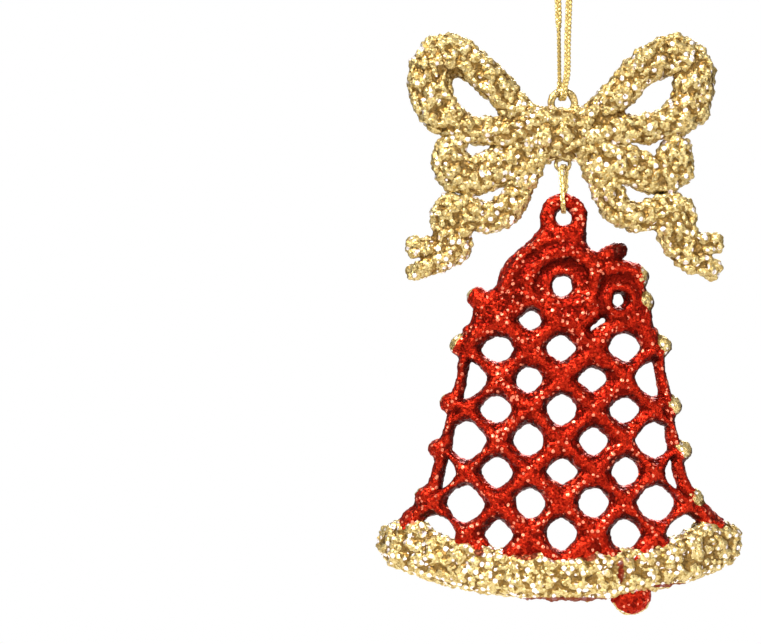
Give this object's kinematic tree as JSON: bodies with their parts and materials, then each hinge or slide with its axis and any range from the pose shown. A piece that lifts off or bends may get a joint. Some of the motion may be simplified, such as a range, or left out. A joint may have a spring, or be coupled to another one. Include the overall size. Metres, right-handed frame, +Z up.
{
  "type": "hanging bell ornament",
  "caption": "Glittered bow on a metallic thread loop, with a flat lattice bell tied below it: a hanging Christmas tree decoration whose bow and bell swing.",
  "frame": {"origin": "inside the top of the hanging loop, where a hook carries the ornament", "axes": "+Z up along the hanging thread, the decorated front faces -Y, +X to the viewer's right"},
  "size_m": [0.0732, 0.0194, 0.1763],
  "materials": {
    "gold_thread": "metallic gold chain-stitched thread",
    "bow_gold": "moulded plastic under a coat of coarse champagne gold glitter",
    "bell_red": "moulded plastic under a coat of fine red glitter",
    "rim_gold": "coarse champagne gold glitter over the red moulding"
  },
  "bodies": {
    "hanger": {"hanging_cord": "gold_thread", "cord_knot": "gold_thread"},
    "bow": {"bow_eyelet": "bow_gold", "bow_knot": "bow_gold", "bow_upper_loop_left": "bow_gold", "bow_upper_loop_right": "bow_gold", "bow_lower_loop_left": "bow_gold", "bow_lower_loop_right": "bow_gold", "bow_tail_left": "bow_gold", "bow_tail_right": "bow_gold", "bow_tab": "bow_gold"},
    "tie": {"tie_thread": "gold_thread", "tie_knot": "gold_thread"},
    "bell": {"bell_ring": "bell_red", "bell_crown": "bell_red", "crown_rosette": "bell_red", "side_rosette": "bell_red", "crown_leaf": "bell_red", "lattice_panel": "bell_red", "edge_bar_left": "bell_red", "edge_bar_right": "bell_red", "edge_nubs_left": "rim_gold", "edge_nubs_right": "rim_gold", "rim_band": "rim_gold", "clapper": "bell_red"}
  },
  "joints": [
    {"name": "bow_swing", "type": "hinge", "parent": "hanger", "child": "bow", "pos_m": [0, 0, -0.0652], "axis": [0, 1, 0], "range_deg": [-45, 45]},
    {"name": "tie_nod", "type": "hinge", "parent": "bow", "child": "tie", "pos_m": [0, 0, -0.07955], "axis": [1, 0, 0], "range_deg": [-30, 30]},
    {"name": "bell_swing", "type": "hinge", "parent": "tie", "child": "bell", "pos_m": [0, 0, -0.0879], "axis": [0, 1, 0], "range_deg": [-10, 10]}
  ]
}
